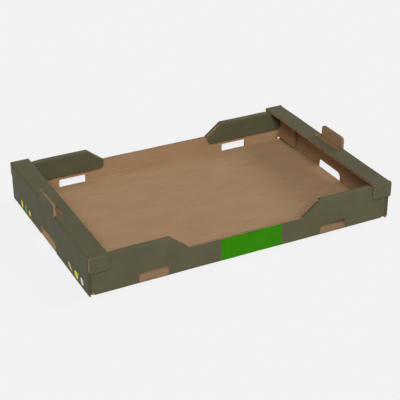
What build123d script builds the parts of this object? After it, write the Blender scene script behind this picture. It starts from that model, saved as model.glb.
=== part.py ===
"""Produce tray of corrugated board, die-cut as one blank, folded up and glued at its corners.

Millimetres. X runs along the tray, Y across it, Z up. The origin is the middle of the underside.
"""

from pathlib import Path

from build123d import *

# Overall sizes
tray_length = 600.0  # outside, over the two end walls
tray_width = 400.0  # outside, over the ears
tray_height = 77.5  # underside to the top of the ledges

# Board and folds
board = 5.0  # thickness of the corrugated board
fold_radius = 4.0  # outside of a right-angle fold
glue_gap = 2.0  # glue bead between an ear and the long wall behind it
glue_bead_length = 22.0
glue_bead_height = 9.0

# Ledges along the tops of the end walls, with the ears that fold down from their ends
ledge_reach = 36.5  # in from the outside of the end wall
ear_drop = 29.0  # down from the top of the ledge
ear_setback = 1.0  # an ear stops this far short of the ledge's folded edge
ear_inner_radius = 8.0
ear_outer_radius = 3.0

# Long walls: raised at the corners, lowered along the middle
raised_step = 3.0  # from the ledge top down to the rolled tops of the raised parts
dip_depth = 29.0
dip_top_length = 300.0
dip_floor_length = 226.0
dip_corner_radius = 5.0

# Flaps rolled over the raised parts and down the inside of the wall
roll_drop = 42.5  # from the rolled top to the flap's lower edge
roll_end_gap = 3.0  # from the end of the lowered part to the flap's free end
roll_corner_radius = 10.0

# Flaps at the ends of the long walls, glued inside the end walls
end_flap_length = 66.0  # from the inside of the long wall; flat, it ends short of the ear
end_flap_gap = 4.0  # above the floor
end_flap_top_gap = 1.5  # below the ledge
end_flap_radius = 10.0

# Stacking tabs, cut out of the ledges. Each starts at the front end of its slot.
tab_length = 72.5  # along its fold
tab_top_length = 71.0
tab_reach = 21.5  # up from the top of the ledge
tab_corner_radius = 8.0
slot_length = 80.0
slot_reach = 18.0  # in from the outside of the end wall
slot_corner_radius = 3.0

# Openings along the bottom edges
notch_length = 83.0  # takes a tab of the tray below
notch_top_length = 78.0
notch_height = 23.0
notch_corner_radius = 9.5
vent_length = 56.0
vent_height = 21.5
vent_centre = 180.0  # from the middle of the tray
vent_corner_radius = 3.0
relief_length = 7.0  # small corner openings, where four folds meet
relief_height = 9.0

# Planes that the panels share
half_length = tray_length / 2
half_width = tray_width / 2
end_inner = half_length - board
lining_face = end_inner - board
wall_face = half_width - board - glue_gap
wall_inner = wall_face - board
ledge_edge = half_length - ledge_reach
ledge_under = tray_height - board
raised_top = tray_height - raised_step
lowered_top = raised_top - dip_depth
roll_low = raised_top - roll_drop
roll_centre = raised_top - board
roll_end = dip_floor_length / 2 + roll_end_gap
flap_low = board + end_flap_gap
flap_high = ledge_under - end_flap_top_gap
fold_middle = board / 2
tab_middle = (tab_length - slot_length) / 2


# The stacking tab and the notch for it, each laid flat: it stands on the X axis.
def narrowing(length, top_length, height, radius):
    """An outline that is narrower at its top, with two rounded corners there."""
    with BuildSketch() as shape:
        with BuildLine():
            Polyline(
                (-length / 2, 0),
                (length / 2, 0),
                (top_length / 2, height),
                (-top_length / 2, height),
                close=True,
            )
        make_face()
        fillet(shape.vertices().group_by(Axis.Y)[-1], radius)
    return shape.sketch


tab_shape = narrowing(tab_length, tab_top_length, tab_reach, tab_corner_radius)
notch_shape = narrowing(notch_length, notch_top_length, notch_height, notch_corner_radius)


# One ear, at the front right corner, with the strip of ledge that it folds down from
with BuildPart() as ear:
    with BuildSketch(Plane.YZ.offset(ledge_edge)):
        with BuildLine():
            Polyline(
                (-half_width, tray_height),
                (-wall_inner, tray_height),
                (-wall_inner, ledge_under),
                (board - half_width, ledge_under),
                (board - half_width, tray_height - ear_drop),
                (-half_width, tray_height - ear_drop),
                close=True,
            )
        ear_section = make_face()
        fillet(ear_section.vertices().group_by(Axis.Y)[-1].sort_by(Axis.X)[0], fold_radius)
    extrude(amount=ledge_reach - ear_setback)
    lower_corners = ear.edges().filter_by(Axis.Y).group_by(Axis.Z)[0].sort_by(Axis.X)
    fillet(lower_corners[0], ear_inner_radius)
    lower_corners = ear.edges().filter_by(Axis.Y).group_by(Axis.Z)[0].sort_by(Axis.X)
    fillet(lower_corners[-1], ear_outer_radius)
    bead_at = Plane.XZ.offset(wall_face)
    with BuildSketch(bead_at):
        with Locations(((ledge_edge + half_length) / 2, tray_height - ear_drop / 2)):
            Rectangle(glue_bead_length, glue_bead_height)
    extrude(amount=glue_gap)


# One flap glued inside the right end wall, at the front
with BuildPart() as end_flap:
    with BuildSketch(Plane.YZ.offset(lining_face)) as flap_face:
        with Locations((-wall_inner, flap_low)):
            Rectangle(end_flap_length, flap_high - flap_low, align=(Align.MIN, Align.MIN))
        fillet(flap_face.vertices().group_by(Axis.X)[-1], end_flap_radius)
    extrude(amount=board)


with BuildPart() as tray:
    # Floor, long walls and rolled-over flaps, in section across the tray
    with BuildSketch(Plane.YZ) as band:
        with Locations((0, roll_centre / 2)):
            Rectangle(2 * wall_face, roll_centre)
        fillet(band.vertices().group_by(Axis.Y)[0], fold_radius)
        with Locations((0, board)):
            Rectangle(
                2 * wall_inner, tray_height, align=(Align.CENTER, Align.MIN), mode=Mode.SUBTRACT
            )
        with Locations((wall_inner, roll_low)):
            Rectangle(board, roll_centre - roll_low, align=(Align.MAX, Align.MIN))
        with Locations((-wall_inner, roll_low)):
            Rectangle(board, roll_centre - roll_low, align=(Align.MIN, Align.MIN))
        with Locations((wall_inner, roll_centre), (-wall_inner, roll_centre)):
            Circle(board)
    extrude(amount=end_inner, both=True)

    # Their outline from the front, with the lowered middle between two slopes
    with BuildSketch(Plane.XZ) as outline:
        with BuildLine():
            Polyline(
                (-half_length, 0),
                (-half_length, raised_top),
                (-dip_top_length / 2, raised_top),
                (-dip_floor_length / 2, lowered_top),
                (dip_floor_length / 2, lowered_top),
                (dip_top_length / 2, raised_top),
                (half_length, raised_top),
                (half_length, 0),
                close=True,
            )
        make_face()
        dip_corners = outline.vertices().filter_by_position(
            Axis.X, -dip_top_length / 2 - fold_middle, dip_top_length / 2 + fold_middle
        )
        fillet(dip_corners, dip_corner_radius)
    extrude(amount=half_width, both=True, mode=Mode.INTERSECT)

    # The corners where the long walls fold into their end flaps
    with BuildSketch():
        RectangleRounded(2 * end_inner, 2 * wall_face, fold_radius)
    extrude(amount=tray_height, mode=Mode.INTERSECT)

    # The rolled-over flaps end beside the lowered part
    with BuildSketch(Plane.XZ):
        with Locations((0, board)):
            Rectangle(2 * roll_end, tray_height, align=(Align.CENTER, Align.MIN))
    extrude(amount=wall_inner, both=True, mode=Mode.SUBTRACT)
    flap_corners = (
        tray.edges()
        .filter_by(Axis.Y)
        .filter_by_position(Axis.Z, roll_low, roll_low)
        .filter_by_position(Axis.X, -roll_end, roll_end)
    )
    fillet(flap_corners, roll_corner_radius)

    # End walls with the ledges folded in from their tops, in section along the tray
    with BuildSketch(Plane.XZ):
        with Locations((0, tray_height / 2)):
            RectangleRounded(tray_length, tray_height, fold_radius)
        with Locations((0, ledge_under)):
            Rectangle(
                2 * end_inner, tray_height, align=(Align.CENTER, Align.MAX), mode=Mode.SUBTRACT
            )
        with Locations((0, tray_height)):
            Rectangle(2 * ledge_edge, 3 * board, mode=Mode.SUBTRACT)
    extrude(amount=wall_face, both=True)

    # Ears and end flaps, one of each at every corner
    for piece in (ear.part, end_flap.part):
        add(piece)
        mirror(piece, about=Plane.XZ)
        mirror(piece, about=Plane.YZ)
        add(piece.mirror(Plane.XZ).mirror(Plane.YZ))

    # Slots in the ledges, and the tabs that stand up out of them.
    # A cut along a fold ends in the middle of the fold.
    with BuildSketch(Plane.XY.offset(ledge_under)) as slots:
        with Locations((half_length - slot_reach, 0)):
            Rectangle(slot_reach - fold_middle, slot_length, align=(Align.MIN, Align.CENTER))
        fillet(slots.vertices().group_by(Axis.X)[0], slot_corner_radius)
        mirror(about=Plane.YZ)
    extrude(amount=board, mode=Mode.SUBTRACT)
    for side in (1, -1):
        with BuildSketch(Plane.YZ.offset(side * end_inner)):
            with Locations((tab_middle, tray_height)):
                add(tab_shape)
                Rectangle(tab_length, board, align=(Align.CENTER, Align.MAX))
        extrude(amount=side * board)

    # Notches in the end walls for the tabs of the tray below
    for side in (1, -1):
        with BuildSketch(Plane.YZ.offset(side * half_length)):
            add(notch_shape)
            Rectangle(notch_length, 2 * board, mode=Mode.SUBTRACT)
        extrude(amount=-side * board, mode=Mode.SUBTRACT)
        with BuildSketch(Plane.YZ.offset(side * half_length)):
            Rectangle(notch_length, 2 * board)
        extrude(amount=-side * fold_middle, mode=Mode.SUBTRACT)

    # Vents along the bottoms of the long walls
    for side in (1, -1):
        vent_plane = Plane.XZ.offset(side * wall_face)
        with BuildSketch(vent_plane) as vents:
            with Locations((-vent_centre, 0), (vent_centre, 0)):
                Rectangle(vent_length, vent_height, align=(Align.CENTER, Align.MIN))
            fillet(vents.vertices().group_by(Axis.Y)[-1], vent_corner_radius)
            Rectangle(tray_length, 2 * board, mode=Mode.SUBTRACT)
        extrude(amount=-side * board, mode=Mode.SUBTRACT)
        with BuildSketch(vent_plane):
            with Locations((-vent_centre, 0), (vent_centre, 0)):
                Rectangle(vent_length, 2 * board)
        extrude(amount=-side * fold_middle, mode=Mode.SUBTRACT)

    # Corner openings, at the ends of the long walls
    with BuildSketch():
        with GridLocations(2 * end_inner - relief_length, 2 * wall_face - board, 2, 2):
            Rectangle(relief_length, board)
    extrude(amount=relief_height, mode=Mode.SUBTRACT)

tray.part.label = "tray"

Path("parts").mkdir(exist_ok=True)
export_step(tray.part, "parts/tray.step")
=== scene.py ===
"""Produce tray of corrugated board, dressed for rendering.

The die-cut blank is drawn flat, meshed, and folded up, so print, washboard and fibres run over
the folds as they do on the real board. Cut edges are open between the liners and filled with
real fluting. Sizes are in millimetres until a mesh is made. The flat blank lies with its kraft
side up, X along the tray and Y across it, and a station on it is named by what starts there.
"""

import math

import bpy
import numpy as np
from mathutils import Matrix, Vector
from mathutils.geometry import delaunay_2d_cdt


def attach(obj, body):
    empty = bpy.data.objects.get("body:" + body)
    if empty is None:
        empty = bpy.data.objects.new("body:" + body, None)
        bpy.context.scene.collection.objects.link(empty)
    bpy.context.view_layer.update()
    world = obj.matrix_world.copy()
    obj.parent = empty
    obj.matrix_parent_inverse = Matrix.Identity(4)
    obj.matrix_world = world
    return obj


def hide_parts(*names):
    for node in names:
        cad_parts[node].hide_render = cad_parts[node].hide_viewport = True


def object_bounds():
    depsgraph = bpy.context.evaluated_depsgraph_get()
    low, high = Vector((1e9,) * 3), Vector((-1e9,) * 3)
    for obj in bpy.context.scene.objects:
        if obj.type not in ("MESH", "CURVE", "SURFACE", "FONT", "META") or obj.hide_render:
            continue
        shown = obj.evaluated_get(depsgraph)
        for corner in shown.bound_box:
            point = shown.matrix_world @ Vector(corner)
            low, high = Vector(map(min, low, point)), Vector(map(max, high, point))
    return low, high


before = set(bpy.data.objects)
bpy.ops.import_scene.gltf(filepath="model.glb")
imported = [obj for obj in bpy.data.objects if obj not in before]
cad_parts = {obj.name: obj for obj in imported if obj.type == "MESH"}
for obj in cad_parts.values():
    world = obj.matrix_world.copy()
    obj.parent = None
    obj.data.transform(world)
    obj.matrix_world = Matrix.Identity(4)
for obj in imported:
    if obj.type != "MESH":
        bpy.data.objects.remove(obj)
cad_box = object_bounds()

MM = 0.001

# The board
BOARD = 5.0
LINER = 0.4  # outer paper, on each side
MIDDLE_LINER = 0.3
PAPER = 0.25  # the fluted sheets
FINE_PITCH = 3.2  # flutes under the printed liner
FINE_HEIGHT = 1.4
COARSE_PITCH = 6.4  # flutes under the kraft liner
COARSE_HEIGHT = 2.5
RECESS = 1.0  # depth of the open cut edge, which the fluting fills
FLUTE_GAP = 0.1  # clear before and behind the fluting in there

# Folds
FOLD = 5.0  # flat width of a right-angle fold
EASE = 0.5  # a fold starts this far before its inner corner
FOLD_RADIUS = 4.0  # on the print side
FOLD_LEAD = EASE + BOARD - FOLD_RADIUS  # straight run before the bend, print side
FOLD_PATH = 2 * FOLD_LEAD + FOLD_RADIUS * math.pi / 2  # the whole fold, print side
FOLD_LINES = 8  # lines that the bend is meshed with
ROLL = 8.0  # flat width of the half turn over a raised wall
ROLL_CORE = 0.3  # inner radius of the half turn
ROLL_STEPS = 14  # strips that it is meshed with

# The folded tray, from its middle and its underside
HALF_LENGTH, HALF_WIDTH, TAB_TOP = (round(float(side) / MM, 3) for side in cad_box[1])
LEDGE_TOP = 77.5
LEDGE_EDGE = 263.5
EAR_LOW = 48.5
EAR_SETBACK = 1.0  # an ear stops this far short of the end wall's outside
GLUE_GAP = 2.0  # between an ear and the long wall behind it
FLAP_GAP = 0.2  # between an end flap and the end wall behind it
FLAP_END = 122.0
FLAP_LOW = 9.0
FLAP_HIGH = 71.0
RAISED_TOP = 74.5
LOWERED_TOP = 45.5
ROLL_LOW = 32.0
PRESSED_TOP = 72.2  # a rolled top is pressed down to this under a ledge
PRESS_START = 250.0  # it starts to go down here
PRESS_END = 261.5  # and is down here
SPRING = 1.3  # the rolled flaps' lower edges stand this far off the wall
SPRING_CURVE = 1.6  # 1 is a straight lean, and more bends them lower down

# Inner corners of the folds
LEDGE_UNDER = LEDGE_TOP - BOARD
END_CORNER = HALF_LENGTH - BOARD
FLAP_CORNER = END_CORNER - FLAP_GAP - BOARD
EAR_CORNER = HALF_WIDTH - BOARD
WALL_CORNER = EAR_CORNER - GLUE_GAP - BOARD
ROLL_HEIGHT = RAISED_TOP - BOARD - ROLL_CORE  # centre of the half turn

# Stations on the flat blank
END_START = END_CORNER - EASE
END_WALL = END_START + FOLD
END_TOP = END_WALL + LEDGE_UNDER - BOARD - 2 * EASE
LEDGE = END_TOP + FOLD
LEDGE_RIM = LEDGE + END_CORNER - EASE - LEDGE_EDGE
WALL_START = WALL_CORNER - EASE
WALL = WALL_START + FOLD
ROLL_START = WALL + ROLL_HEIGHT - BOARD - EASE
ROLL_END = ROLL_START + ROLL
ROLL_RIM = ROLL_END + ROLL_HEIGHT - ROLL_LOW
EAR_START = EAR_CORNER - EASE
EAR = EAR_START + FOLD
EAR_RIM = EAR + LEDGE_UNDER - EASE - EAR_LOW
EAR_SIDE = LEDGE + END_START + EAR_SETBACK - HALF_LENGTH
FLAP_START = FLAP_CORNER - EASE
FLAP = FLAP_START + FOLD
FLAP_RIM = FLAP + WALL_CORNER - EASE - FLAP_END

# Die lines
SLIT = 0.3
SHOULDER = WALL_CORNER + BOARD  # end walls reach this far across
RELIEF = 288.0  # the corner openings reach in to here
ROLL_SIDE = 288.5
DIP_FOOT = 113.0  # the slope of a long wall, foot and top
DIP_TOP = 150.0
DIP_SLOPE = (DIP_TOP - DIP_FOOT) / (RAISED_TOP - LOWERED_TOP)
ROLL_FREE_END = 116.0
VENT_CENTRE = 180.0
VENT_HALF = 28.0
VENT_TOP = 21.5
NOTCH_HALF = 41.5
NOTCH_TOP_HALF = 39.05
NOTCH_TOP = 23.0
NOTCH_LEAN = 0.4  # a notch is this much narrower, each side, where its fold ends
TONGUE = 2.5  # the floor reaches into the fold this far at vents and notches
SLOT_HALF = 40.2
SLOT_REACH = 17.5  # from where the fold starts
TAB_FRONT = -39.8
TAB_BACK = 32.3
TAB_TAPER = 0.75
TAB_GAP = 0.4  # between a tab's upper edge and the slot's far one
TAB_HEIGHT = TAB_TOP - LEDGE_UNDER + EASE
TAB_STRETCH = TAB_HEIGHT / (SLOT_REACH - TAB_GAP)  # a tab stands taller than its slot is deep

# Round corners
ARC_STEPS = 8  # in a quarter turn
DIP_RADIUS = 5.0
SLOPE_END_RADIUS = 1.5  # where the slope's cut ends, on the rolled flap
ROLL_RADIUS = 10.0
ROLL_SIDE_RADIUS = 4.0
FLAP_RADIUS = 10.0
EAR_RADIUS = 4.0
EAR_SIDE_RADIUS = 3.0
VENT_RADIUS = 3.0
NOTCH_RADIUS = 9.5
SLOT_RADIUS = 3.0
TAB_RADIUS = 6.0

# The mesh of the flat blank
GRID = 9.0
EDGE_STEP = 7.0  # the longest stretch of a cut edge between two points
EDGE_PROBE = 0.5  # in from a cut edge, to find the direction into the board
GRID_CLEARANCE = 2.5  # grid points keep this clear of cuts and scores
SCORE_CLEARANCE = 0.8  # points along a score keep this clear of cuts
WALL_FOLD_END = 291.0  # the floor past this stays flat beside a long wall's fold
WALL_SCORE_END = 288.5  # in the corner openings
ROLL_SCORE_START = 130.0  # in the open, beside the slope
SPARE = 1.0  # scores and picked areas reach this far past an edge
HAIR = 0.1  # keeps a point that lies on a line to its own side of it
DOUBLED = 1e-4  # points nearer than this are one point
SHARP_ANGLE = 38  # degrees


def on_wall(height):
    """Flat Y of a point at that height on a long wall."""
    return WALL + height - BOARD - EASE


def on_end(height):
    """Flat X of a point at that height on an end wall."""
    return END_WALL + height - BOARD - EASE


# Outlines
def rounded(corners):
    """A line through corners given as (x, y), or as (x, y, radius) to round them."""
    line = []
    last = len(corners) - 1
    for i, corner in enumerate(corners):
        here = np.array(corner[:2], float)
        radius = corner[2] if len(corner) == 3 else 0
        if not radius or i in (0, last):
            line.append(tuple(here))
            continue
        back = np.array(corners[i - 1][:2], float) - here
        on = np.array(corners[i + 1][:2], float) - here
        back /= np.linalg.norm(back)
        on /= np.linalg.norm(on)
        half = math.acos(float(np.clip(back @ on, -1, 1))) / 2
        middle = (back + on) / np.linalg.norm(back + on)
        centre = here + middle * radius / math.sin(half)
        first = here + back * radius / math.tan(half) - centre
        final = here + on * radius / math.tan(half) - centre
        sweep = math.atan2(first[0] * final[1] - first[1] * final[0], float(first @ final))
        steps = max(2, round(abs(sweep) * ARC_STEPS / (math.pi / 2)))
        for k in range(steps + 1):
            a = sweep * k / steps
            c, s = math.cos(a), math.sin(a)
            line.append(tuple(centre + (c * first[0] - s * first[1], s * first[0] + c * first[1])))
    return line


def mirrored(line, x, y):
    """A line on another quarter, reversed where the mirror turns it round."""
    turned = [(px * x, py * y) for px, py in line]
    return turned if x * y > 0 else turned[::-1]


def dip_edge(height):
    """X of the sloping cut at that height, with its rounded upper corner."""
    lead = DIP_RADIUS * math.tan(math.atan2(1, DIP_SLOPE) / 2)
    slope_length = math.hypot(1, DIP_SLOPE)
    if height < RAISED_TOP - lead / slope_length:
        return DIP_FOOT + (height - LOWERED_TOP) * DIP_SLOPE
    drop = height - (RAISED_TOP - DIP_RADIUS)
    return DIP_TOP + lead - math.sqrt(max(DIP_RADIUS**2 - drop**2, 0))


def over_the_roll():
    """The sloping cut where it passes over the half turn."""
    points = []
    for k in range(ROLL_STEPS + 1):
        up = math.sin(math.pi * k / ROLL_STEPS)
        height = ROLL_HEIGHT + (BOARD + ROLL_CORE) * up
        points.append((dip_edge(min(height, RAISED_TOP)), ROLL_START + ROLL * k / ROLL_STEPS))
    return points


def quarter_outline():
    """The outline from the middle of a lowered wall round one corner to the middle of a ledge."""
    lowered = on_wall(LOWERED_TOP)
    slope = over_the_roll()
    dip = rounded([(0, lowered), (DIP_FOOT, lowered, DIP_RADIUS), slope[0]])
    # on the flap the same slope goes on, down to the flap's free end
    slope_end = ROLL_END + ROLL_HEIGHT - LOWERED_TOP - (ROLL_FREE_END - DIP_FOOT) / DIP_SLOPE
    corner = rounded(
        [
            slope[-1],
            (ROLL_FREE_END, slope_end, SLOPE_END_RADIUS),
            (ROLL_FREE_END, ROLL_RIM, ROLL_RADIUS),
            (ROLL_SIDE, ROLL_RIM, ROLL_SIDE_RADIUS),
            (ROLL_SIDE, ROLL_START + HAIR),
            (ROLL_SIDE + SLIT, ROLL_START + HAIR),
            (ROLL_SIDE + SLIT, on_wall(FLAP_HIGH)),
            (FLAP_RIM, on_wall(FLAP_HIGH), FLAP_RADIUS),
            (FLAP_RIM, on_wall(FLAP_LOW), FLAP_RADIUS),
            (RELIEF, on_wall(FLAP_LOW)),
            (RELIEF, WALL_CORNER),
            (END_CORNER, WALL_CORNER),
            (END_CORNER, SHOULDER),
            (LEDGE, SHOULDER),
            (LEDGE, SHOULDER + SLIT),
            (EAR_SIDE, SHOULDER + SLIT),
            (EAR_SIDE, EAR_RIM, EAR_SIDE_RADIUS),
            (LEDGE_RIM, EAR_RIM, EAR_RADIUS),
            (LEDGE_RIM, 0),
        ]
    )
    return dip[:-1] + slope[:-1] + corner


def blank_outline():
    """The outline of the whole blank, as a ring."""
    quarter = quarter_outline()
    ring = []
    for x, y in ((1, 1), (1, -1), (-1, -1), (-1, 1)):
        ring += mirrored(quarter, x, y)[:-1]
    return ring


def vent(x, y):
    """A vent at the foot of a long wall, with the floor's tongue in its fold."""
    inside = VENT_HALF - SLIT
    top = on_wall(VENT_TOP)
    line = rounded(
        [
            (VENT_CENTRE - inside, WALL_CORNER + TONGUE),
            (VENT_CENTRE - inside, WALL_START),
            (VENT_CENTRE - VENT_HALF, WALL_START),
            (VENT_CENTRE - VENT_HALF, top, VENT_RADIUS),
            (VENT_CENTRE + VENT_HALF, top, VENT_RADIUS),
            (VENT_CENTRE + VENT_HALF, WALL_START),
            (VENT_CENTRE + inside, WALL_START),
            (VENT_CENTRE + inside, WALL_CORNER + TONGUE),
        ]
    )
    return mirrored(line, x, y)


def end_notch(x):
    """The notch at the foot of an end wall, with the floor's tongue in its fold."""
    inside = NOTCH_HALF - SLIT
    top = on_end(NOTCH_TOP)
    line = rounded(
        [
            (END_CORNER + TONGUE, -inside),
            (END_START, -inside),
            (END_START, -NOTCH_HALF),
            (END_WALL, -NOTCH_HALF + NOTCH_LEAN),
            (top, -NOTCH_TOP_HALF, NOTCH_RADIUS),
            (top, NOTCH_TOP_HALF, NOTCH_RADIUS),
            (END_WALL, NOTCH_HALF - NOTCH_LEAN),
            (END_START, NOTCH_HALF),
            (END_START, inside),
            (END_CORNER + TONGUE, inside),
        ]
    )
    return mirrored(line, x, 1)


def tab_cut(gap=0.0):
    """The outline of a stacking tab, or a line that far outside it."""
    upright = rounded(
        [
            (0, TAB_BACK + gap),
            (TAB_HEIGHT + gap, TAB_BACK - TAB_TAPER + gap, TAB_RADIUS),
            (TAB_HEIGHT + gap, TAB_FRONT + TAB_TAPER - gap, TAB_RADIUS),
            (0, TAB_FRONT - gap),
        ]
    )
    return [(END_TOP + up / TAB_STRETCH, across) for up, across in upright]


def slot(x):
    """The slot round a tab. Behind the tab it starts in the middle of the fold."""
    middle = END_TOP + FOLD / 2
    inner = END_TOP + SLOT_REACH
    line = rounded(
        [
            (END_TOP, TAB_BACK + SLIT),
            (middle, TAB_BACK + SLIT),
            (middle, SLOT_HALF),
            (inner, SLOT_HALF, SLOT_RADIUS),
            (inner, -SLOT_HALF, SLOT_RADIUS),
            (END_TOP, -SLOT_HALF),
        ]
    )
    return mirrored(line + tab_cut()[::-1], x, 1)


# Rings of points
def unit(vectors):
    """Each vector at length 1. One without a length stays as it is."""
    lengths = np.linalg.norm(vectors, axis=1)
    return vectors / np.maximum(lengths, 1e-6)[:, None]


def clockwise(ring):
    """The ring, turned round if it runs the other way."""
    p = np.array(ring)
    q = np.roll(p, -1, 0)
    area = (p[:, 0] * q[:, 1] - q[:, 0] * p[:, 1]).sum()
    return ring if area < 0 else ring[::-1]


def divided(ring):
    """The ring without doubled points, and with its long straight runs divided."""
    even = []
    for p, q in zip(ring, ring[1:] + ring[:1]):
        length = math.dist(p, q)
        steps = math.ceil(length / EDGE_STEP) if length > DOUBLED else 0
        even += [tuple(np.array(p) + (np.array(q) - p) * k / steps) for k in range(steps)]
    return even


def set_back(ring, depth):
    """The ring moved into the board, which lies on its right."""
    p = np.array(ring)
    run = unit(np.roll(p, -1, 0) - p)
    inward = np.c_[run[:, 1], -run[:, 0]] * depth
    before = np.roll(inward, 1, 0)
    return p + (before + inward) * (depth**2 / (depth**2 + (before * inward).sum(1)))[:, None]


def crossings(points, rings):
    """True for each point that lies inside an odd number of rings."""
    px, py = points[:, 0][:, None], points[:, 1][:, None]
    odd = np.zeros(len(points), bool)
    for ring in rings:
        a = np.asarray(ring, float)
        b = np.roll(a, -1, 0)
        straddles = (a[:, 1] > py) != (b[:, 1] > py)
        rise = b[:, 1] - a[:, 1]
        rise[rise == 0] = 1
        at = (b[:, 0] - a[:, 0]) * (py - a[:, 1]) / rise + a[:, 0]
        odd ^= ((straddles & (px < at)).sum(1) % 2).astype(bool)
    return odd


# Folding
def between(value, low, high):
    return (value > low) & (value < high)


def panels(flat):
    """Which points of the flat blank are on an ear, on a long wall or its flaps, on an end wall
    or its ledge and tab, and on the tab itself. The rest is floor."""
    ax, ay = np.abs(flat.T)
    ear = (ax > END_TOP) & (ay > SHOULDER + SLIT / 2)
    at_vent = np.abs(ax - VENT_CENTRE) < VENT_HALF - SLIT / 2
    vent_tongue = at_vent & (ay < WALL_CORNER + TONGUE + HAIR)
    beside_floor = (ay > WALL_START) & (ax < WALL_FOLD_END)
    side = ~ear & ~vent_tongue & (beside_floor | (ay > SHOULDER + SPARE))
    at_notch = ay < NOTCH_HALF - SLIT / 2
    notch_tongue = at_notch & (ax < END_CORNER + TONGUE + HAIR)
    end = ~ear & ~side & ~notch_tongue & (ax > END_START)
    tab = end & (ax > END_TOP) & crossings(np.c_[ax, flat[:, 1]], [tab_cut(SLIT / 2)])
    return ear, side, end, tab


def bend(at, start, w):
    """Points at that station in a right-angle fold, from its inner corner: how far along the
    first panel's direction, and how far out on its print side."""
    turn = np.clip((at - start) / FOLD, 0, 1)
    run = turn * FOLD_PATH
    angle = np.clip((run - FOLD_LEAD) / FOLD_RADIUS, 0, math.pi / 2)
    print_along = -EASE + np.minimum(run, FOLD_LEAD) + FOLD_RADIUS * np.sin(angle)
    print_out = BOARD - FOLD_RADIUS + FOLD_RADIUS * np.cos(angle)
    print_out -= np.maximum(run - FOLD_PATH + FOLD_LEAD, 0)
    kraft_along, kraft_out = -EASE * (1 - turn) ** 2, -EASE * turn**2
    share = (BOARD + w) / BOARD
    along = kraft_along + (print_along - kraft_along) * share
    return along, kraft_out + (print_out - kraft_out) * share


def fold_end_walls(place, ax, w, end, tab, ear):
    """Stands the end walls up with their tabs, and folds the ledges in."""
    x, _, z = place
    along, out = bend(ax, END_START, w)
    here = end & (ax <= END_WALL)
    x[here], z[here] = END_CORNER + along[here], BOARD - out[here]
    here = end & (ax > END_WALL)
    x[here], z[here] = HALF_LENGTH + w[here], BOARD + EASE + ax[here] - END_WALL
    z[tab] = LEDGE_UNDER - EASE + (ax[tab] - END_TOP) * TAB_STRETCH
    along, out = bend(ax, END_TOP, w)
    here = end & ~tab & (ax > END_TOP)
    x[here], z[here] = END_CORNER + out[here], LEDGE_UNDER + along[here]
    here = (end & ~tab & (ax > LEDGE)) | ear
    x[here], z[here] = END_CORNER - EASE - (ax[here] - LEDGE), LEDGE_TOP + w[here]


def fold_ears(place, ay, w, ear):
    """Folds the ears down outside the long walls."""
    _, y, z = place
    along, out = bend(ay, EAR_START, w)
    here = ear & (ay > EAR_START)
    y[here], z[here] = EAR_CORNER + along[here], LEDGE_UNDER + out[here]
    here = ear & (ay > EAR)
    y[here], z[here] = HALF_WIDTH + w[here], LEDGE_UNDER - EASE - (ay[here] - EAR)


def fold_long_walls(place, ax, ay, w, side):
    """Stands the long walls up, and rolls their flaps over and down the inside. Under a ledge
    the roll is pressed flatter."""
    _, y, z = place
    along, out = bend(ay, WALL_START, w)
    y[side], z[side] = WALL_CORNER + along[side], BOARD - out[side]
    here = side & (ay > WALL)
    y[here], z[here] = WALL_CORNER + BOARD + w[here], BOARD + EASE + ay[here] - WALL

    turn = np.clip((ay - ROLL_START) / ROLL, 0, 1) * math.pi
    reach = ROLL_CORE + BOARD + w
    pressed = np.clip((ax - PRESS_START) / (PRESS_END - PRESS_START), 0, 1)
    pressed = pressed * pressed * (3 - 2 * pressed)
    lift = 1 - pressed * (1 - (PRESSED_TOP - ROLL_HEIGHT) / (BOARD + ROLL_CORE))
    down = np.maximum(ay - ROLL_END, 0)
    spring = SPRING * np.clip((ay - ROLL_END) / (ROLL_RIM - ROLL_END), 0, 1) ** SPRING_CURVE
    here = side & (ay > ROLL_START) & (ax < ROLL_SIDE + SLIT / 2)
    y[here] = (WALL_CORNER - ROLL_CORE + reach * np.cos(turn) - spring)[here]
    z[here] = (ROLL_HEIGHT + reach * np.sin(turn) * lift - down)[here]


def fold_end_flaps(place, ax, w, side):
    """Folds the end flaps in behind the end walls."""
    x, y, _ = place
    along, out = bend(ax, FLAP_START, w)
    here = side & (ax > FLAP_START)
    x[here], y[here] = FLAP_CORNER + along[here], WALL_CORNER + out[here]
    here = side & (ax > FLAP)
    x[here], y[here] = FLAP_CORNER + BOARD + w[here], WALL_CORNER - EASE - (ax[here] - FLAP)


def handled(p):
    """The slight bow of board that has been carried about, long waves and short ones. It is
    kept inside the tray's own size."""
    x, y, z = p.T
    bow = np.c_[
        0.22 * np.sin(y / 61 + 0.7) * np.sin(z / 34 + 0.4) + 0.1 * np.sin(y / 23 + z / 29),
        0.30 * np.sin(x / 74 + 1.9) * np.sin(z / 37 + 0.9) + 0.1 * np.sin(x / 27 - z / 31),
        0.20 * np.sin(x / 83 + 0.3) * np.sin(y / 57 + 1.1) + 0.1 * np.sin(y / 31 + x / 19),
    ]
    return np.clip(p + bow, (-HALF_LENGTH, -HALF_WIDTH, 0), (HALF_LENGTH, HALF_WIDTH, TAB_TOP))


def fold_up(flat, w):
    """Takes points of the flat blank to the folded tray. Through the board, w is 0 on the print
    side and -BOARD on the kraft side. One corner's folds are worked out and mirrored."""
    ax, ay = np.abs(flat.T)
    w = np.broadcast_to(np.asarray(w, float), ax.shape)
    place = [ax.copy(), ay.copy(), -w]
    ear, side, end, tab = panels(flat)
    fold_end_walls(place, ax, w, end, tab, ear)
    fold_ears(place, ay, w, ear)
    fold_long_walls(place, ax, ay, w, side)
    fold_end_flaps(place, ax, w, side)
    x, y, z = place
    sign_x, sign_y = np.where(flat.T < 0, -1, 1)
    return handled(np.c_[x * sign_x, y * sign_y, z])


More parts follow.
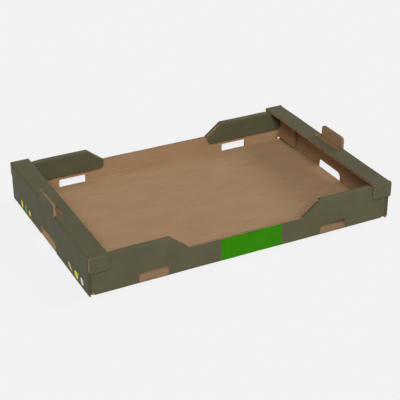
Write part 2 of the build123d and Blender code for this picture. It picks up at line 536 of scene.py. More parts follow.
# Cutting the blank into faces
def score_lines():
    """The straight lines across the blank that its folds need, as (first end, last end)."""
    lead = FOLD_LEAD / FOLD_PATH
    over_fold = FOLD * np.array([0, *np.linspace(lead, 1 - lead, FOLD_LINES), 1])
    over_roll = ROLL * np.arange(ROLL_STEPS + 1) / ROLL_STEPS
    shoulder = SHOULDER + SLIT / 2
    flap_low, flap_high = on_wall(FLAP_LOW) - SPARE, on_wall(FLAP_HIGH) + SPARE
    lines = []
    for sx in (1, -1):
        for start in (END_START, END_TOP):
            for x in sx * (start + over_fold):
                lines.append(((x, -shoulder), (x, shoulder)))
        for sy in (1, -1):
            for into_fold in over_fold:
                x = sx * (FLAP_START + into_fold)
                lines.append(((x, sy * flap_low), (x, sy * flap_high)))
                y = sy * (EAR_START + into_fold)
                lines.append(((sx * END_TOP, y), (sx * (LEDGE_RIM + SPARE), y)))
            for y in sy * (ROLL_START + over_roll):
                lines.append(((sx * ROLL_SCORE_START, y), (sx * (ROLL_SIDE + SLIT / 2), y)))
    for sy in (1, -1):
        for y in sy * (WALL_START + over_fold):
            lines.append(((-WALL_SCORE_END, y), (WALL_SCORE_END, y)))
    return lines


def clear_of(points, segments, gap):
    """The points that are further than gap from every segment."""
    keep = np.ones(len(points), bool)
    for a, b in segments:
        a, b = np.array(a), np.array(b)
        run = b - a
        length = run @ run
        if length < 1e-9:
            continue
        t = np.clip((points - a) @ run / length, 0, 1)
        keep &= np.hypot(*(points - a - t[:, None] * run).T) > gap
    return points[keep]


def points_along(score, cuts):
    """Evenly spread points of a score line, with none close to a cut but its ends."""
    a, b = map(np.array, score)
    steps = max(1, round(np.linalg.norm(b - a) / GRID))
    inner = a + (b - a) * (np.arange(1, steps) / steps)[:, None]
    return [a, *clear_of(inner, cuts, SCORE_CLEARANCE), b]


def grid_points(lines):
    """An even grid over the blank, without the points close to a line."""
    columns, rows = int(LEDGE_RIM // GRID), int(ROLL_RIM // GRID)
    grid = [
        (GRID * i, GRID * j) for i in range(-columns, columns + 1) for j in range(-rows, rows + 1)
    ]
    return clear_of(np.array(grid), lines, GRID_CLEARANCE)


def cut_faces(rings, backed):
    """Points and triangles of the flat blank, and which triangles are clear of its cut edges."""
    points, edges = [], []

    def draw(line, closed):
        start = len(points)
        points.extend(line)
        edges.extend((start + i, start + i + 1) for i in range(len(line) - 1))
        if closed:
            edges.append((len(points) - 1, start))

    outlines = [*rings, *backed]
    cuts = [(p, q) for ring in outlines for p, q in zip(ring, [*ring[1:], ring[0]])]
    scores = score_lines()
    for ring in outlines:
        draw(ring, closed=True)
    for score in scores:
        draw(points_along(score, cuts), closed=False)
    points.extend(grid_points(cuts + scores))

    made = delaunay_2d_cdt([Vector(p) for p in points], edges, [], 0, DOUBLED, False)
    flat = np.array([tuple(v) for v in made[0]])
    faces = np.array([f for f in made[2] if len(f) == 3])
    a, b, c = (flat[corner] for corner in faces.T)
    area = np.cross(b - a, c - a)
    faces[area < 0] = faces[area < 0][:, ::-1]
    faces = faces[np.abs(area) > 1e-6]
    faces = faces[crossings(flat[faces].mean(1), rings)]
    return flat, faces, crossings(flat[faces].mean(1), backed)


def border(faces):
    """Directed edges that only one of the faces has, with that face on their left."""
    corners = faces.tolist()
    runs = dict.fromkeys(edge for a, b, c in corners for edge in ((a, b), (b, c), (c, a)))
    return [(a, b) for a, b in runs if (b, a) not in runs]


def loops(edges):
    """Closed loops of points along the directed edges."""
    onward = dict(edges)
    found = []
    while onward:
        start, here = next(iter(onward.items()))
        del onward[start]
        loop = [start]
        while here != start:
            loop.append(here)
            here = onward.pop(here)
        found.append(loop)
    return found


# The folded board
PRINTED, BARE, CUT = range(3)  # material slots of the folded blank

INK_FOOT = 4.5  # ink has soaked into upright cut edges from this height up


def new_piece(name, verts, faces, materials, slots=None):
    """A mesh object from points in millimetres."""
    mesh = bpy.data.meshes.new(name)
    mesh.from_pydata((np.asarray(verts) * MM).tolist(), [], [list(map(int, f)) for f in faces])
    for material in materials:
        mesh.materials.append(material)
    if slots is not None:
        mesh.polygons.foreach_set("material_index", slots)
    piece = bpy.data.objects.new(name, mesh)
    bpy.context.scene.collection.objects.link(piece)
    return piece


def fold_wear(flat):
    """How far each point is into the bend of a fold, 0 on a flat panel and 1 along its ridge."""
    ax, ay = np.abs(flat.T)
    ear, side, end, tab = panels(flat)

    def ridge(at, start, width=FOLD):
        return np.sin(np.clip((at - start) / width, 0, 1) * math.pi)

    wear = np.where(end | (ax > END_START), ridge(ax, END_START), 0)
    wear = np.where(end & ~tab, np.maximum(wear, ridge(ax, END_TOP)), wear)
    wear = np.where(ear, ridge(ay, EAR_START), wear)
    wear = np.where(side, ridge(ay, WALL_START), wear)
    wear = np.where(side & (ax < ROLL_SIDE), np.maximum(wear, ridge(ay, ROLL_START, ROLL)), wear)
    return np.where(side & (ax > FLAP_START), ridge(ax, FLAP_START), wear)


def ink_soak(flat):
    """1 by the cut edges that printing ink has soaked into: the slopes of the long walls, the
    upright ends of the end walls, and the corner openings."""
    ax, ay = np.abs(flat.T)
    ear, side, *_ = panels(flat)
    slopes = side & between(ax, DIP_FOOT + SPARE, DIP_TOP + DIP_RADIUS)
    slopes &= between(ay, on_wall(LOWERED_TOP) - SPARE, on_wall(RAISED_TOP) + SPARE)
    ends = ~ear & ~side & (ay > WALL_CORNER) & between(ax, on_end(INK_FOOT), END_TOP + SPARE)
    openings = side & between(ax, RELIEF - 2 * SPARE, HALF_LENGTH)
    openings &= between(ay, on_wall(INK_FOOT), on_wall(FLAP_LOW) + 3 * SPARE)
    return (slopes | ends | openings).astype(float)


def blank_faces(count, faces, clear):
    """The faces of the folded board, and their material slots. Its points lie on four levels,
    of count points each: the two sides of the printed liner, then those of the kraft liner."""
    rim = faces[~clear]
    made, slots = [], []

    def add(new_faces, material_slot):
        made.extend(new_faces)
        slots.extend([material_slot] * len(new_faces))

    def bridge(a, b, level):
        """Joins an edge on one level to the same edge on the next."""
        low, high = level * count, (level + 1) * count
        add([(a + low, b + low, b + high, a + high)], CUT)

    add(faces[:, ::-1].tolist(), PRINTED)
    add((faces + 3 * count).tolist(), BARE)
    add((rim + count).tolist(), CUT)
    add((rim[:, ::-1] + 2 * count).tolist(), CUT)
    for a, b in border(faces):
        bridge(a, b, 0)
        bridge(a, b, 2)
    for a, b in border(faces[clear]):
        bridge(a, b, 1)
    return made, slots


def mark_blank(mesh, flat, faces, used):
    """Stores where the mesh is worn or soaked with ink, and where it lies on the flat blank."""
    edge_wear = np.zeros(len(flat))
    edge_wear[np.ravel(border(faces))] = 1
    for name, values in (
        ("edge_wear", edge_wear),
        ("fold_wear", fold_wear(flat)),
        ("ink_soak", ink_soak(flat)),
    ):
        spread = np.tile(values, 4)[used].astype(np.float32)
        mesh.attributes.new(name, "FLOAT", "POINT").data.foreach_set("value", spread)
    uv = mesh.uv_layers.new(name="flat_blank")
    corner_verts = np.zeros(len(mesh.loops), int)
    mesh.loops.foreach_get("vertex_index", corner_verts)
    places = flat[used % len(flat)][corner_verts] * MM
    uv.data.foreach_set("uv", places.ravel().astype(np.float32))


def make_blank(flat, faces, clear, materials):
    """The folded board: printed liner, kraft liner, and between them the core, set back from
    every cut edge."""
    verts = np.concatenate([fold_up(flat, w) for w in (0, -LINER, LINER - BOARD, -BOARD)])
    made, slots = blank_faces(len(flat), faces, clear)
    used = np.unique(np.concatenate([np.ravel(f) for f in made]))
    renumber = np.full(len(verts), -1)
    renumber[used] = np.arange(len(used))
    made = [renumber[list(f)].tolist() for f in made]
    piece = new_piece("folded_blank", verts[used], made, materials, slots)
    mesh = piece.data
    mark_blank(mesh, flat, faces, used)
    mesh.polygons.foreach_set("use_smooth", np.ones(len(mesh.polygons), bool))
    mesh.set_sharp_from_angle(angle=math.radians(SHARP_ANGLE))
    mesh.validate()
    return piece


def make_edge_path(flat, faces):
    """The cut edges as lines along the middle of the board, each point with the direction into
    the board, the direction through it to the print side, and its place across the flutes."""
    edges, middles, inwards, through, stations = [], [], [], [], []
    start = 0
    for loop in loops(border(faces)):
        count = len(loop)
        p = flat[loop]
        run = unit(np.roll(p, -1, 0) - p)
        left = np.c_[-run[:, 1], run[:, 0]]
        turn = unit(left + np.roll(left, 1, 0))
        middle = fold_up(p, -BOARD / 2)
        edges += [(start + i, start + (i + 1) % count) for i in range(count)]
        middles.append(middle)
        inwards.append(unit(fold_up(p + turn * EDGE_PROBE, -BOARD / 2) - middle))
        through.append((fold_up(p, 0) - fold_up(p, -BOARD)) / BOARD)
        stations.append(p)
        start += count
    stations = np.concatenate(stations)
    mesh = bpy.data.meshes.new("cut_edge_path")
    mesh.from_pydata((np.concatenate(middles) * MM).tolist(), edges, [])
    for name, kind, key, values in (
        ("into_board", "FLOAT_VECTOR", "vector", np.concatenate(inwards)),
        ("through_board", "FLOAT_VECTOR", "vector", np.concatenate(through)),
        ("across_flutes", "FLOAT", "value", stations[:, 1] * MM),
        ("ink_soak", "FLOAT", "value", ink_soak(stations)),
    ):
        attribute = mesh.attributes.new(name, kind, "POINT")
        attribute.data.foreach_set(key, values.astype(np.float32).ravel())
    return mesh


# Recipes of nodes
class Recipe:
    """Short words for the nodes of a tree."""

    def __init__(self, tree):
        self.nodes = tree.nodes
        self.links = tree.links

    def feed(self, socket, value):
        """Links the socket to another one, or sets it to a plain value."""
        if isinstance(value, bpy.types.NodeSocket):
            self.links.new(value, socket)
        else:
            socket.default_value = value

    def node(self, kind, inputs=None, **settings):
        made = self.nodes.new(kind)
        for name, value in settings.items():
            setattr(made, name, value)
        for key, value in (inputs or {}).items():
            self.feed(made.inputs[key], value)
        return made

    def maths(self, operation, first, second=0.0, third=0.0, clamp=False):
        inputs = {0: first, 1: second, 2: third}
        return self.node("ShaderNodeMath", inputs, operation=operation, use_clamp=clamp).outputs[0]

    def times(self, first, second):
        return self.maths("MULTIPLY", first, second)

    def without(self, value):
        """1 where the value is 0, and 0 where it is 1."""
        return self.maths("SUBTRACT", 1.0, value)


# Fluting, by Geometry Nodes
def fluting_tree():
    """A sheet of paper that runs along the cut edges between the liners, waved or straight."""
    tree = bpy.data.node_groups.new("fluting_along_cut_edges", "GeometryNodeTree")
    sockets = tree.interface
    sockets.new_socket("Cut Edges", in_out="INPUT", socket_type="NodeSocketGeometry")
    for name in ("Flute Pitch", "Flute Height", "Level", "Paper", "Depth", "Spacing"):
        sockets.new_socket(name, in_out="INPUT", socket_type="NodeSocketFloat")
    sockets.new_socket("Board Edge", in_out="INPUT", socket_type="NodeSocketMaterial")
    sockets.new_socket("Fluting", in_out="OUTPUT", socket_type="NodeSocketGeometry")
    tree_recipe = Recipe(tree)
    node, maths, times = tree_recipe.node, tree_recipe.maths, tree_recipe.times
    given = node("NodeGroupInput").outputs

    def attribute(name, kind="FLOAT_VECTOR"):
        read = node("GeometryNodeInputNamedAttribute", {"Name": name}, data_type=kind)
        return read.outputs["Attribute"]

    def scaled(vector, amount):
        inputs = {0: vector, "Scale": amount}
        return node("ShaderNodeVectorMath", inputs, operation="SCALE").outputs[0]

    path = node("GeometryNodeMeshToCurve", {"Mesh": given["Cut Edges"]}).outputs[0]
    inputs = {"Curve": path, "Length": given["Spacing"]}
    path = node("GeometryNodeResampleCurve", inputs, mode="LENGTH").outputs[0]

    turns = maths("DIVIDE", attribute("across_flutes", "FLOAT"), given["Flute Pitch"])
    wave = times(maths("SINE", times(turns, 2 * math.pi)), times(given["Flute Height"], 0.5))
    rise = scaled(attribute("through_board"), maths("ADD", wave, given["Level"]))
    half_depth = maths("ADD", times(given["Depth"], 0.5), FLUTE_GAP * MM)
    sink = scaled(attribute("into_board"), half_depth)
    move = node("ShaderNodeVectorMath", {0: rise, 1: sink}, operation="ADD").outputs[0]
    path = node("GeometryNodeSetPosition", {"Geometry": path, "Offset": move}).outputs[0]
    inputs = {"Curve": path, "Normal": attribute("into_board")}
    path = node("GeometryNodeSetCurveNormal", inputs, mode="FREE").outputs[0]

    inputs = {"Width": given["Depth"], "Height": given["Paper"]}
    profile = node("GeometryNodeCurvePrimitiveQuadrilateral", inputs).outputs[0]
    inputs = {"Curve": path, "Profile Curve": profile, "Fill Caps": True}
    sheet = node("GeometryNodeCurveToMesh", inputs).outputs[0]
    sheet = node("GeometryNodeRealizeInstances", {0: sheet}).outputs[0]
    inputs = {"Geometry": sheet, "Material": given["Board Edge"]}
    sheet = node("GeometryNodeSetMaterial", inputs).outputs[0]
    node("NodeGroupOutput", {0: sheet})
    return tree


def grow(name, mesh, tree, settings):
    """Runs the tree on a mesh and returns the result as a plain piece."""
    piece = bpy.data.objects.new(name, mesh)
    bpy.context.scene.collection.objects.link(piece)
    modifier = piece.modifiers.new("grow", "NODES")
    modifier.node_group = tree
    for item in tree.interface.items_tree:
        if item.in_out == "INPUT" and item.name in settings:
            modifier[item.identifier] = settings[item.name]
    shown = piece.evaluated_get(bpy.context.evaluated_depsgraph_get())
    plain = bpy.data.meshes.new_from_object(shown)
    piece.modifiers.remove(modifier)
    piece.data = plain
    for spent in ("into_board", "through_board", "across_flutes"):
        plain.attributes.remove(plain.attributes[spent])
    return piece


def make_fluting(path, edge_material):
    """The two waved sheets and the liner between them, seen in every cut edge."""
    tree = fluting_tree()
    middle = BOARD / 2
    fine_level = middle - LINER - FINE_HEIGHT / 2
    liner_level = middle - LINER - FINE_HEIGHT - MIDDLE_LINER / 2
    coarse_level = LINER + COARSE_HEIGHT / 2 - middle
    made = []
    for name, pitch, height, level, paper, spacing in (
        ("fine_fluting", FINE_PITCH, FINE_HEIGHT - PAPER, fine_level, PAPER, 0.5),
        ("middle_liner", COARSE_PITCH, 0.0, liner_level, MIDDLE_LINER, 2.5),
        ("coarse_fluting", COARSE_PITCH, COARSE_HEIGHT - PAPER, coarse_level, PAPER, 0.8),
    ):
        settings = {
            "Flute Pitch": pitch * MM,
            "Flute Height": height * MM,
            "Level": level * MM,
            "Paper": paper * MM,
            "Depth": (RECESS - 2 * FLUTE_GAP) * MM,
            "Spacing": spacing * MM,
            "Board Edge": edge_material,
        }
        made.append(grow(name, path.copy(), tree, settings))
    return made


# Glue
GLUE_X = (LEDGE_EDGE + HALF_LENGTH) / 2
GLUE_HEIGHT = (LEDGE_TOP + EAR_LOW) / 2
GLUE_HALF_LENGTH = 9.5
GLUE_HALF_HEIGHT = 3.9
GLUE_BACK = SHOULDER - 0.1  # sunk into the long wall
GLUE_DEPTH = 2.3  # and into the ear
GLUE_ROUND = 28
GLUE_LAYERS = 7
GLUE_SQUARENESS = 2.5  # 2 is an oval


def glue_bead(sx, sy):
    """Points and faces of the lumpy bead in one corner of the tray, swollen in its middle."""
    verts, faces = [], []
    for layer in range(GLUE_LAYERS):
        share = layer / (GLUE_LAYERS - 1)
        swell = 1 + 0.16 * math.sin(math.pi * share)
        for i in range(GLUE_ROUND):
            a = 2 * math.pi * i / GLUE_ROUND
            c, s = math.cos(a), math.sin(a)
            lumps = 1 + 0.07 * math.sin(3 * a + sx) + 0.05 * math.sin(5 * a + sy * 2)
            squared = abs(c) ** GLUE_SQUARENESS + abs(s) ** GLUE_SQUARENESS
            reach = lumps * swell / squared ** (1 / GLUE_SQUARENESS)
            x = GLUE_X + GLUE_HALF_LENGTH * c * reach
            y = GLUE_BACK + GLUE_DEPTH * share
            z = GLUE_HEIGHT + GLUE_HALF_HEIGHT * s * reach
            verts.append((sx * x, sy * y, z))
    last = (GLUE_LAYERS - 1) * GLUE_ROUND
    for low in range(0, last, GLUE_ROUND):
        for i in range(GLUE_ROUND):
            a, b = low + i, low + (i + 1) % GLUE_ROUND
            faces.append([a, b, b + GLUE_ROUND, a + GLUE_ROUND])
    faces.append(list(range(GLUE_ROUND))[::-1])
    faces.append(list(range(last, last + GLUE_ROUND)))
    if sx * sy > 0:
        faces = [face[::-1] for face in faces]
    return verts, faces


def make_glue(material):
    """A squeezed bead of hot glue between each ear and the long wall behind it."""
    verts, faces = [], []
    for sx in (1, -1):
        for sy in (1, -1):
            bead_verts, bead_faces = glue_bead(sx, sy)
            faces += [[len(verts) + v for v in face] for face in bead_faces]
            verts += bead_verts
    piece = new_piece("glue_beads", verts, faces, [material])
    polygons = piece.data.polygons
    polygons.foreach_set("use_smooth", [len(p.vertices) == 4 for p in polygons])
    return piece


# Colours
def linear(red, green, blue):
    """A colour given as it looks on screen, 0 to 255, in the numbers that a shader wants."""
    def one(value):
        v = value / 255
        return v / 12.92 if v <= 0.04045 else ((v + 0.055) / 1.055) ** 2.4

    return (one(red), one(green), one(blue), 1.0)


OLIVE_INK = linear(94, 92, 69)
OLIVE_THIN = linear(99, 95, 72)
OLIVE_DEEP = linear(88, 86, 64)
LABEL_GREEN = linear(52, 132, 2)
LABEL_GREEN_DEEP = linear(44, 122, 1)
LABEL_GREEN_THIN = linear(66, 138, 16)
KRAFT = linear(172, 141, 106)
KRAFT_DARK = linear(161, 130, 96)
KRAFT_PALE = linear(186, 156, 119)
KRAFT_FLECK_AND_SHADE = linear(122, 91, 62)
CUT_BOARD = linear(168, 138, 112)
CUT_BOARD_DARK = linear(146, 116, 90)
SOAKED_EDGE = linear(92, 88, 64)
GLUE_PALE = linear(222, 196, 140)
GLUE_AMBER = linear(190, 150, 84)

# What is printed where
LABEL_LEFT = -51.1
LABEL_RIGHT = 70.7
LABEL_FOOT = 2.2  # height above the tray's underside
PRINT_BLUR = 0.2  # half the width of a printed area's soft rim
UNDER_PRINT = 6.0  # the flood of ink ends this far in under the floor
UNDER_BLUR = 0.5
TAB_SCORE = END_TOP + 2.6  # the score across the foot of a tab
TAB_SCORE_HALF = 36.0
TAB_MIDDLE = (TAB_FRONT + TAB_BACK) / 2


# Materials
class Finish(Recipe):
    """A material with short words for the nodes that its recipe is written in."""

    def __init__(self, name):
        self.material = bpy.data.materials.new(name)
        self.material.use_nodes = True
        super().__init__(self.material.node_tree)
        self.shader = self.nodes["Principled BSDF"]

    def set(self, **sockets):
        for name, value in sockets.items():
            self.feed(self.shader.inputs[name.replace("_", " ")], value)

    def step(self, value, low, high):
        """0 below low, 1 above high, smooth between. It falls where high is the lower one."""
        inputs = {"Value": value, "From Min": low, "From Max": high}
        return self.node("ShaderNodeMapRange", inputs, interpolation_type="SMOOTHSTEP").outputs[0]

    def mix(self, share, first, second):
        inputs = {0: share, 6: first, 7: second}  # its sockets for colours
        return self.node("ShaderNodeMix", inputs, data_type="RGBA").outputs[2]

    def tinted(self, colour, other, value, low, high, most=1.0):
        """The colour, turned to the other one, by most of the way, where the value is high."""
        return self.mix(self.times(self.step(value, low, high), most), colour, other)

    def attribute(self, name):
        return self.node("ShaderNodeAttribute", attribute_name=name).outputs["Fac"]

    def in_millimetres(self, place):
        inputs = {"Vector": place, "Scale": (1 / MM, 1 / MM, 1 / MM)}
        return self.node("ShaderNodeMapping", inputs).outputs[0]

    def flat_place(self):
        """The place on the flat blank, in millimetres."""
        return self.in_millimetres(self.node("ShaderNodeUVMap", uv_map="flat_blank").outputs[0])

    def folded_place(self):
        """The place on the folded tray, in millimetres."""
        return self.in_millimetres(self.node("ShaderNodeTexCoord").outputs["Object"])

    def axes(self, place):
        return self.node("ShaderNodeSeparateXYZ", {0: place}).outputs[:2]

    def noise(self, place, per_mm, stretch=(1, 1, 1), detail=3.0, roughness=0.5, shift=0.0):
        inputs = {"Vector": place, "Scale": stretch, "Location": (shift, shift, 0)}
        at = self.node("ShaderNodeMapping", inputs).outputs[0]
        inputs = {"Vector": at, "Scale": per_mm, "Detail": detail, "Roughness": roughness}
        return self.node("ShaderNodeTexNoise", inputs).outputs[0]

    def bump(self, height, distance, under=None):
        """The surface raised by distance, in millimetres, where height is 1."""
        inputs = {"Height": height, "Distance": distance * MM, "Strength": 1.0}
        if under is not None:
            inputs["Normal"] = under
        return self.node("ShaderNodeBump", inputs).outputs[0]


def washboard(coat, place, pitch):
    """1 over a flute's crest and 0 between crests. The flutes run along the flat blank's X."""
    drift = coat.noise(place, 0.02, detail=1.0)
    across = coat.maths("MULTIPLY_ADD", drift, 1.2, coat.axes(place)[1])
    wave = coat.maths("SINE", coat.times(across, 2 * math.pi / pitch))
    return coat.maths("MULTIPLY_ADD", wave, 0.5, 0.5)


def uneven_board(coat, place, crests, crest_height):
    """Shallow dents, and the flutes seen through a liner."""
    dents = coat.noise(place, 0.03, detail=2.0, shift=51)
    return coat.bump(crests, crest_height, coat.bump(dents, 0.5))


def kraft_colour(coat, place, pitch):
    """Unprinted kraft paper, with its fibres, flecks and the flutes' shadow."""
    cloudy = coat.noise(place, 0.012, stretch=(1, 2.5, 1), detail=5.0, roughness=0.6)
    streaks = coat.noise(place, 0.3, stretch=(0.06, 1, 1), detail=3.0, shift=71)
    fibres = coat.noise(place, 1.1, stretch=(1, 0.12, 1), detail=4.0, roughness=0.7)
    flecks = coat.noise(place, 0.9, stretch=(1, 0.35, 1), detail=2.0, shift=37)
    crests = washboard(coat, place, pitch)
    tone = coat.maths("MULTIPLY_ADD", streaks, 0.45, coat.times(cloudy, 0.55))
    colour = coat.tinted(KRAFT_DARK, KRAFT, tone, 0.34, 0.66)
    colour = coat.tinted(colour, KRAFT_PALE, fibres, 0.52, 0.75)
    colour = coat.tinted(colour, KRAFT_FLECK_AND_SHADE, flecks, 0.66, 0.72, most=0.5)
    colour = coat.mix(coat.times(coat.without(crests), 0.16), colour, KRAFT_DARK)
    return colour, fibres, crests


def label_field(coat, flat_x, flat_y):
    """1 on the label field, on the outside of the front wall, and 0 round it."""
    left = coat.step(flat_x, LABEL_LEFT - PRINT_BLUR, LABEL_LEFT + PRINT_BLUR)
    right = coat.step(flat_x, LABEL_RIGHT + PRINT_BLUR, LABEL_RIGHT - PRINT_BLUR)
    foot = -on_wall(LABEL_FOOT)
    front = coat.step(flat_y, foot + PRINT_BLUR, foot - PRINT_BLUR)
    return coat.times(coat.times(left, right), front)


def bare_underside(coat, flat_x, flat_y):
    """1 under the floor, which is left unprinted, and 0 on the walls."""
    x, y = END_CORNER - UNDER_PRINT, WALL_CORNER - UNDER_PRINT
    under_x = coat.step(coat.maths("ABSOLUTE", flat_x), x + UNDER_BLUR, x - UNDER_BLUR)
    under_y = coat.step(coat.maths("ABSOLUTE", flat_y), y + UNDER_BLUR, y - UNDER_BLUR)
    return coat.times(under_x, under_y)


def worn_ink(coat, place):
    """1 where ink has worn off a cut edge, and less where it has cracked along a fold."""
    patches = coat.noise(place, 0.35, detail=5.0, roughness=0.7, shift=23)
    at_edge = coat.times(coat.attribute("edge_wear"), 0.45)
    at_fold = coat.times(coat.attribute("fold_wear"), 0.28)
    chipped = coat.step(coat.maths("MULTIPLY_ADD", patches, 0.9, at_edge), 0.98, 1.08)
    cracked = coat.step(coat.maths("MULTIPLY_ADD", patches, 0.8, at_fold), 0.76, 0.92)
    return coat.maths("MAXIMUM", chipped, coat.times(cracked, 0.35))


def printed_oval(coat, place, under, centre, size, turn, ink):
    """Prints one oval over a colour. Centre is a place on the flat blank, in millimetres."""
    inputs = {
        "Vector": place,
        "Location": (centre[0], centre[1], 0),
        "Rotation": (0, 0, math.radians(turn)),
        "Scale": (size[0] / 2, size[1] / 2, 1),
    }
    round_place = coat.node("ShaderNodeMapping", inputs, vector_type="TEXTURE").outputs[0]
    reach = coat.node("ShaderNodeVectorMath", {0: round_place}, operation="LENGTH")
    return coat.tinted(under, ink, reach.outputs["Value"], 1.06, 0.98)


def end_wall_ovals():
    """The row of plain printed ovals along the foot of the left end wall: how far across the
    tray and up the wall each lies, its size across and up, its turn, and its ink."""
    yellow, ochre, lemon = linear(248, 226, 58), linear(252, 220, 78), linear(252, 248, 62)
    green, plum = linear(116, 188, 74), linear(84, 58, 84)
    tan, white, mint = linear(216, 184, 138), linear(242, 236, 228), linear(150, 168, 128)
    return (
        (163.5, 10.0, 12, 11, 12, plum),
        (141.5, 14.2, 10, 15, -12, yellow),
        (118.8, 14.0, 8, 14, -6, green),
        (117.5, 21.5, 5, 6, -20, mint),
        (98.1, 15.3, 10.5, 12.5, 22, ochre),
        (97.5, 24.0, 4, 4, 0, plum),
        (-108.5, 15.0, 9.5, 19, -62, tan),
        (-138.2, 14.6, 17, 12, 16, lemon),
        (-143.5, 30.5, 4, 4, 0, plum),
        (-164.0, 15.2, 14.5, 11.5, 37, white),
        (-151.0, 22.5, 3.5, 5, 25, green),
    )


def printed_liner():
    """Kraft paper under a matt olive flood, with the label field and the ovals, worn at its
    edges and folds. The floor's underside is left unprinted."""
    coat = Finish("printed_liner")
    place = coat.flat_place()
    flat_x, flat_y = coat.axes(place)
    paper, fibres, crests = kraft_colour(coat, place, FINE_PITCH)

    cloudy = coat.noise(place, 0.022, detail=4.0, roughness=0.55, shift=11)
    grain = coat.noise(place, 2.2, stretch=(1, 0.3, 1), detail=3.0, roughness=0.7, shift=5)
    ink = coat.tinted(OLIVE_DEEP, OLIVE_INK, cloudy, 0.3, 0.72)
    ink = coat.tinted(ink, OLIVE_THIN, grain, 0.45, 0.8, most=0.5)
    # Darker between the flute crests: painted shade of the washboard, as on the kraft.
    ink = coat.mix(coat.times(coat.without(crests), 0.1), ink, OLIVE_DEEP)
    label = coat.tinted(LABEL_GREEN_DEEP, LABEL_GREEN, cloudy, 0.25, 0.75)
    label = coat.tinted(label, LABEL_GREEN_THIN, grain, 0.5, 0.85, most=0.35)
    ink = coat.mix(label_field(coat, flat_x, flat_y), ink, label)
    for across, up, wide, high, turn, colour in end_wall_ovals():
        ink = printed_oval(coat, place, ink, (-on_end(up), across), (high, wide), turn, colour)

    bare = coat.maths("MAXIMUM", worn_ink(coat, place), bare_underside(coat, flat_x, flat_y))
    rough = coat.maths("MULTIPLY_ADD", coat.step(grain, 0.3, 0.8), 0.1, 0.52)
    coat.set(Base_Color=coat.mix(bare, ink, paper), Specular_IOR_Level=0.06)
    coat.set(Roughness=coat.maths("MULTIPLY_ADD", bare, 0.25, rough, clamp=True))
    normal = coat.bump(fibres, 0.03, uneven_board(coat, place, crests, 0.02))
    coat.set(Normal=coat.bump(coat.without(bare), 0.05, normal))
    return coat.material


def tab_score(coat, flat_x, flat_y):
    """1 on the ledge's score where it runs on across the foot of each tab, and 0 beside it."""
    off_line = coat.maths("SUBTRACT", coat.maths("ABSOLUTE", flat_x), TAB_SCORE)
    off_middle = coat.maths("SUBTRACT", flat_y, TAB_MIDDLE)
    line = coat.step(coat.maths("ABSOLUTE", off_line), 0.7, 0.25)
    ends = TAB_SCORE_HALF + PRINT_BLUR, TAB_SCORE_HALF - PRINT_BLUR
    return coat.times(line, coat.step(coat.maths("ABSOLUTE", off_middle), *ends))


def kraft_liner():
    """Bare kraft paper on the inside of the board."""
    coat = Finish("kraft_liner")
    place = coat.flat_place()
    flat_x, flat_y = coat.axes(place)
    colour, fibres, crests = kraft_colour(coat, place, COARSE_PITCH)
    fuzz = coat.noise(place, 0.6, detail=4.0, roughness=0.7, shift=3)
    frayed = coat.maths("MULTIPLY_ADD", fuzz, 0.8, coat.times(coat.attribute("edge_wear"), 0.5))
    colour = coat.tinted(colour, KRAFT_PALE, frayed, 0.8, 1.0, most=0.5)
    colour = coat.mix(coat.times(coat.attribute("ink_soak"), 0.75), colour, SOAKED_EDGE)

    score = tab_score(coat, flat_x, flat_y)
    # The score is painted darker with the fleck colour: painted shade in its groove, on top of the
    # groove that the bump below presses in.
    colour = coat.mix(coat.times(score, 0.6), colour, KRAFT_FLECK_AND_SHADE)

    coat.set(Base_Color=colour, Roughness=0.86, Specular_IOR_Level=0.12)
    normal = coat.bump(coat.without(score), 0.3, uneven_board(coat, place, crests, 0.05))
    coat.set(Normal=coat.bump(fibres, 0.05, normal))
    return coat.material


def board_edge():
    """Raw paper in the cut edges, the liners' edges and the fluting."""
    coat = Finish("board_edge")
    place = coat.folded_place()
    cloudy = coat.noise(place, 0.08, detail=3.0)
    fuzz = coat.noise(place, 2.5, detail=4.0, roughness=0.7, shift=9)
    colour = coat.tinted(CUT_BOARD_DARK, CUT_BOARD, cloudy, 0.3, 0.7)
    colour = coat.tinted(colour, KRAFT_PALE, fuzz, 0.55, 0.8, most=0.5)
    soaked = coat.times(coat.attribute("ink_soak"), coat.step(fuzz, 0.1, 0.3))
    coat.set(Base_Color=coat.mix(soaked, colour, SOAKED_EDGE))
    coat.set(Roughness=0.92, Specular_IOR_Level=0.2, Normal=coat.bump(fuzz, 0.08))
    return coat.material


def hot_glue():
    """Cloudy amber glue."""
    coat = Finish("hot_glue")
    cloudy = coat.noise(coat.folded_place(), 0.25, detail=3.0)
    coat.set(Base_Color=coat.tinted(GLUE_AMBER, GLUE_PALE, cloudy, 0.3, 0.7))
    coat.set(Roughness=coat.maths("MULTIPLY_ADD", cloudy, 0.2, 0.2))
    coat.set(Subsurface_Weight=0.3, Subsurface_Scale=0.002, Normal=coat.bump(cloudy, 0.2))
    return coat.material


# The tray. The outline runs clockwise and the openings the other way: the board is on the right.
holes = [vent(x, y) for x in (1, -1) for y in (1, -1)]
holes += [end_notch(x) for x in (1, -1)] + [slot(x) for x in (1, -1)]
rings = [clockwise(divided(blank_outline()))]
rings += [clockwise(divided(hole))[::-1] for hole in holes]
backed = [set_back(ring, RECESS) for ring in rings]
flat, faces, clear = cut_faces(rings, backed)

edge_finish = board_edge()
blank = make_blank(flat, faces, clear, [printed_liner(), kraft_liner(), edge_finish])
fluting = make_fluting(make_edge_path(flat, faces), edge_finish)
glue = make_glue(hot_glue())

for piece in (blank, *fluting, glue):
    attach(piece, "root")
for piece in (blank, *fluting):
    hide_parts("tray")


# Floor, light and camera
FLOOR_REACH = 30000.0
FLOOR_DROP = 0.2  # below the tray, so that they don't share a plane
SKY_TINT = (0.98, 0.99, 1.06, 1.0)
SKY_STRENGTH = 0.18
CAMERA_PLACE = (-0.82036, -1.61687, 0.99909)  # metres
CAMERA_TURN = 27.049  # degrees to the right of looking straight across the tray
CAMERA_DIP = 28.446  # degrees below level
CAMERA_LENS = 97.773  # with a sensor 36 mm wide


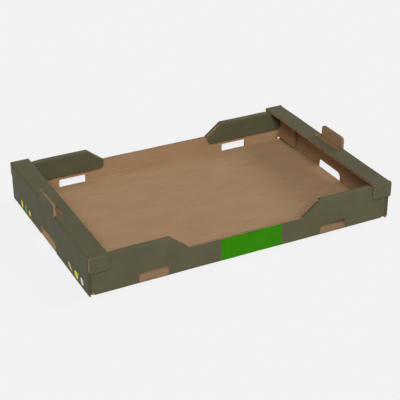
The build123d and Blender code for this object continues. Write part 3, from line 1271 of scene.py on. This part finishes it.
def shown_rays(recipe):
    """1 for a ray that shows the surroundings: the camera's own, or one that a glossy or clear
    surface sends on. 0 for a ray that only gathers light."""
    rays = recipe.node("ShaderNodeLightPath").outputs
    shown = recipe.maths("MAXIMUM", rays["Is Camera Ray"], rays["Is Glossy Ray"])
    return recipe.maths("MAXIMUM", shown, rays["Is Transmission Ray"])


def make_floor():
    """A pale floor that keeps the tray's shadow and looks evenly lit."""
    coat = Finish("pale_floor")
    coat.set(Base_Color=linear(241, 241, 241), Roughness=1.0, Specular_IOR_Level=0.0)
    pale = coat.node("ShaderNodeEmission", {"Color": linear(245, 245, 245), "Strength": 1.0})
    share = coat.times(shown_rays(coat), 0.88)
    inputs = {0: share, 1: coat.shader.outputs[0], 2: pale.outputs[0]}
    blend = coat.node("ShaderNodeMixShader", inputs)
    coat.feed(coat.nodes["Material Output"].inputs["Surface"], blend.outputs[0])
    square = ((-1, -1), (1, -1), (1, 1), (-1, 1))
    corners = [(x * FLOOR_REACH, y * FLOOR_REACH, -FLOOR_DROP) for x, y in square]
    floor = new_piece("floor", corners, [(0, 1, 2, 3)], [coat.material])


def make_world():
    """Even pale light all round. The camera sees it as the pale background."""
    world = bpy.data.worlds.new("studio")
    world.use_nodes = True
    bpy.context.scene.world = world
    sky = Recipe(world.node_tree)
    light = sky.nodes["Background"]
    light.inputs["Color"].default_value = SKY_TINT
    light.inputs["Strength"].default_value = SKY_STRENGTH
    seen = sky.node("ShaderNodeBackground", {"Color": linear(242, 242, 242), "Strength": 1.0})
    inputs = {0: shown_rays(sky), 1: light.outputs[0], 2: seen.outputs[0]}
    blend = sky.node("ShaderNodeMixShader", inputs)
    sky.feed(sky.nodes["World Output"].inputs[0], blend.outputs[0])


def make_lamp(name, towards_light, strength, softness):
    """A far soft lamp. Softness is the angle that it spans, in degrees."""
    lamp = bpy.data.lights.new(name, "SUN")
    lamp.energy = strength
    lamp.angle = math.radians(softness)
    holder = bpy.data.objects.new(name, lamp)
    holder.rotation_mode = "QUATERNION"
    holder.rotation_quaternion = Vector(towards_light).to_track_quat("Z", "Y")
    bpy.context.scene.collection.objects.link(holder)


def make_camera():
    """The photograph's viewpoint, from the tray's own measured edges."""
    camera = bpy.data.cameras.new("camera")
    camera.sensor_width = 36
    camera.lens = CAMERA_LENS
    camera.clip_end = 100
    holder = bpy.data.objects.new("camera", camera)
    holder.location = CAMERA_PLACE
    turn, dip = math.radians(CAMERA_TURN), math.radians(CAMERA_DIP)
    looks = Vector((math.sin(turn) * math.cos(dip), math.cos(turn) * math.cos(dip), -math.sin(dip)))
    holder.rotation_mode = "QUATERNION"
    holder.rotation_quaternion = looks.to_track_quat("-Z", "Y")
    bpy.context.scene.collection.objects.link(holder)
    bpy.context.scene.camera = holder


make_floor()
make_world()
make_lamp("front_softbox", (-0.32, -0.71, 0.62), strength=2.27, softness=20)
make_lamp("right_softbox", (0.77, 0.05, 0.62), strength=1.0, softness=30)
make_camera()
bpy.context.scene.view_settings.view_transform = "Standard"
